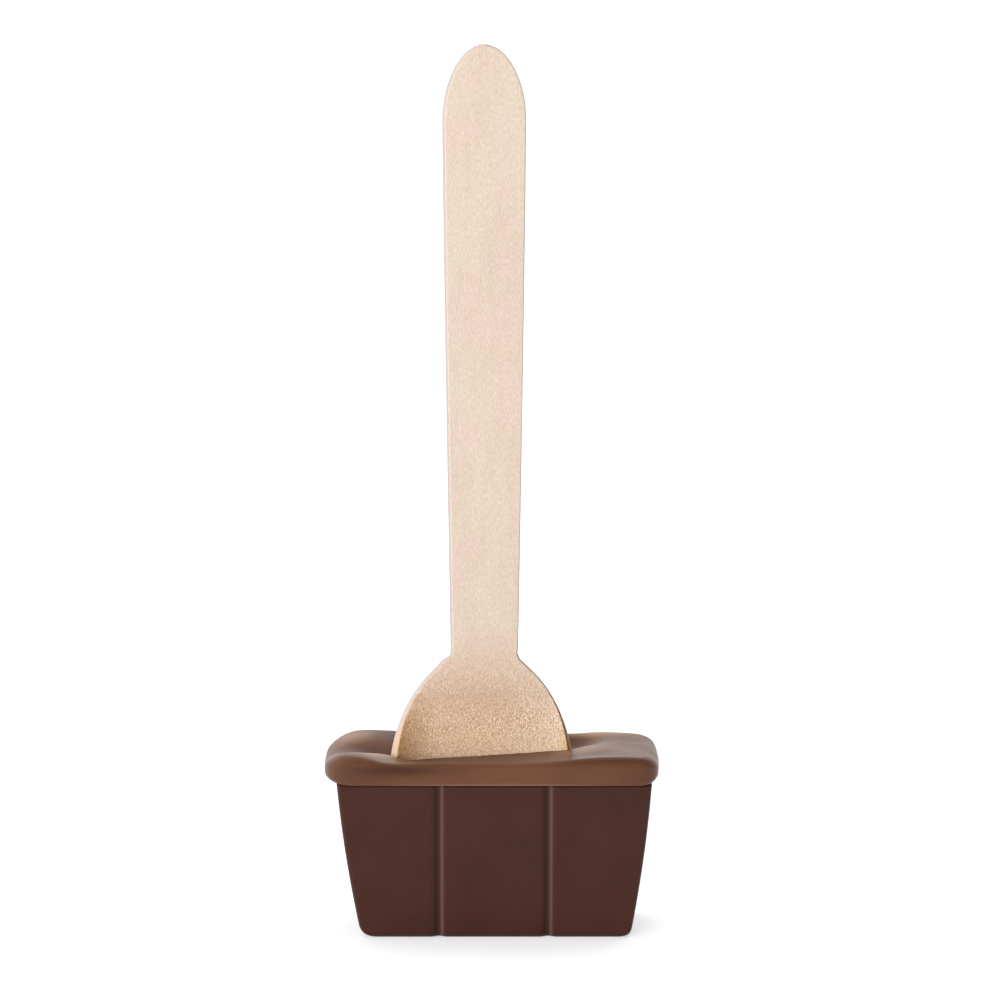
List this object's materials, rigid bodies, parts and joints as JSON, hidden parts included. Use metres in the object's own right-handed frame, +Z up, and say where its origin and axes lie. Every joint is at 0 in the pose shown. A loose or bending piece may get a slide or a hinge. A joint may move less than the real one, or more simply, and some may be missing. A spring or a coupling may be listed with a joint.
{
  "type": "hot chocolate spoon",
  "caption": "Flat wooden spoon standing bowl down in a drafted block of dark chocolate with upright score lines and a poured top layer of lighter chocolate.",
  "frame": {"origin": "middle of the flat base of the block, under the middle of the top layer's outline", "axes": "+Z up along the spoon, +Y from the front to the back, the hollow of the bowl faces -Y, +X to the right seen from the front"},
  "size_m": [0.061, 0.026, 0.1617],
  "materials": {
    "birch_wood": "bare pale birch, matt, with a fine grain along the handle and fine pores in the bowl",
    "dark_chocolate": "moulded, satin, with slightly brighter rounded edges",
    "milk_chocolate": "poured and set, satin with soft highlights on its swells"
  },
  "bodies": {
    "root": {"wooden_spoon": "birch_wood", "chocolate_block": "dark_chocolate", "chocolate_top_layer": "milk_chocolate"}
  },
  "joints": []
}
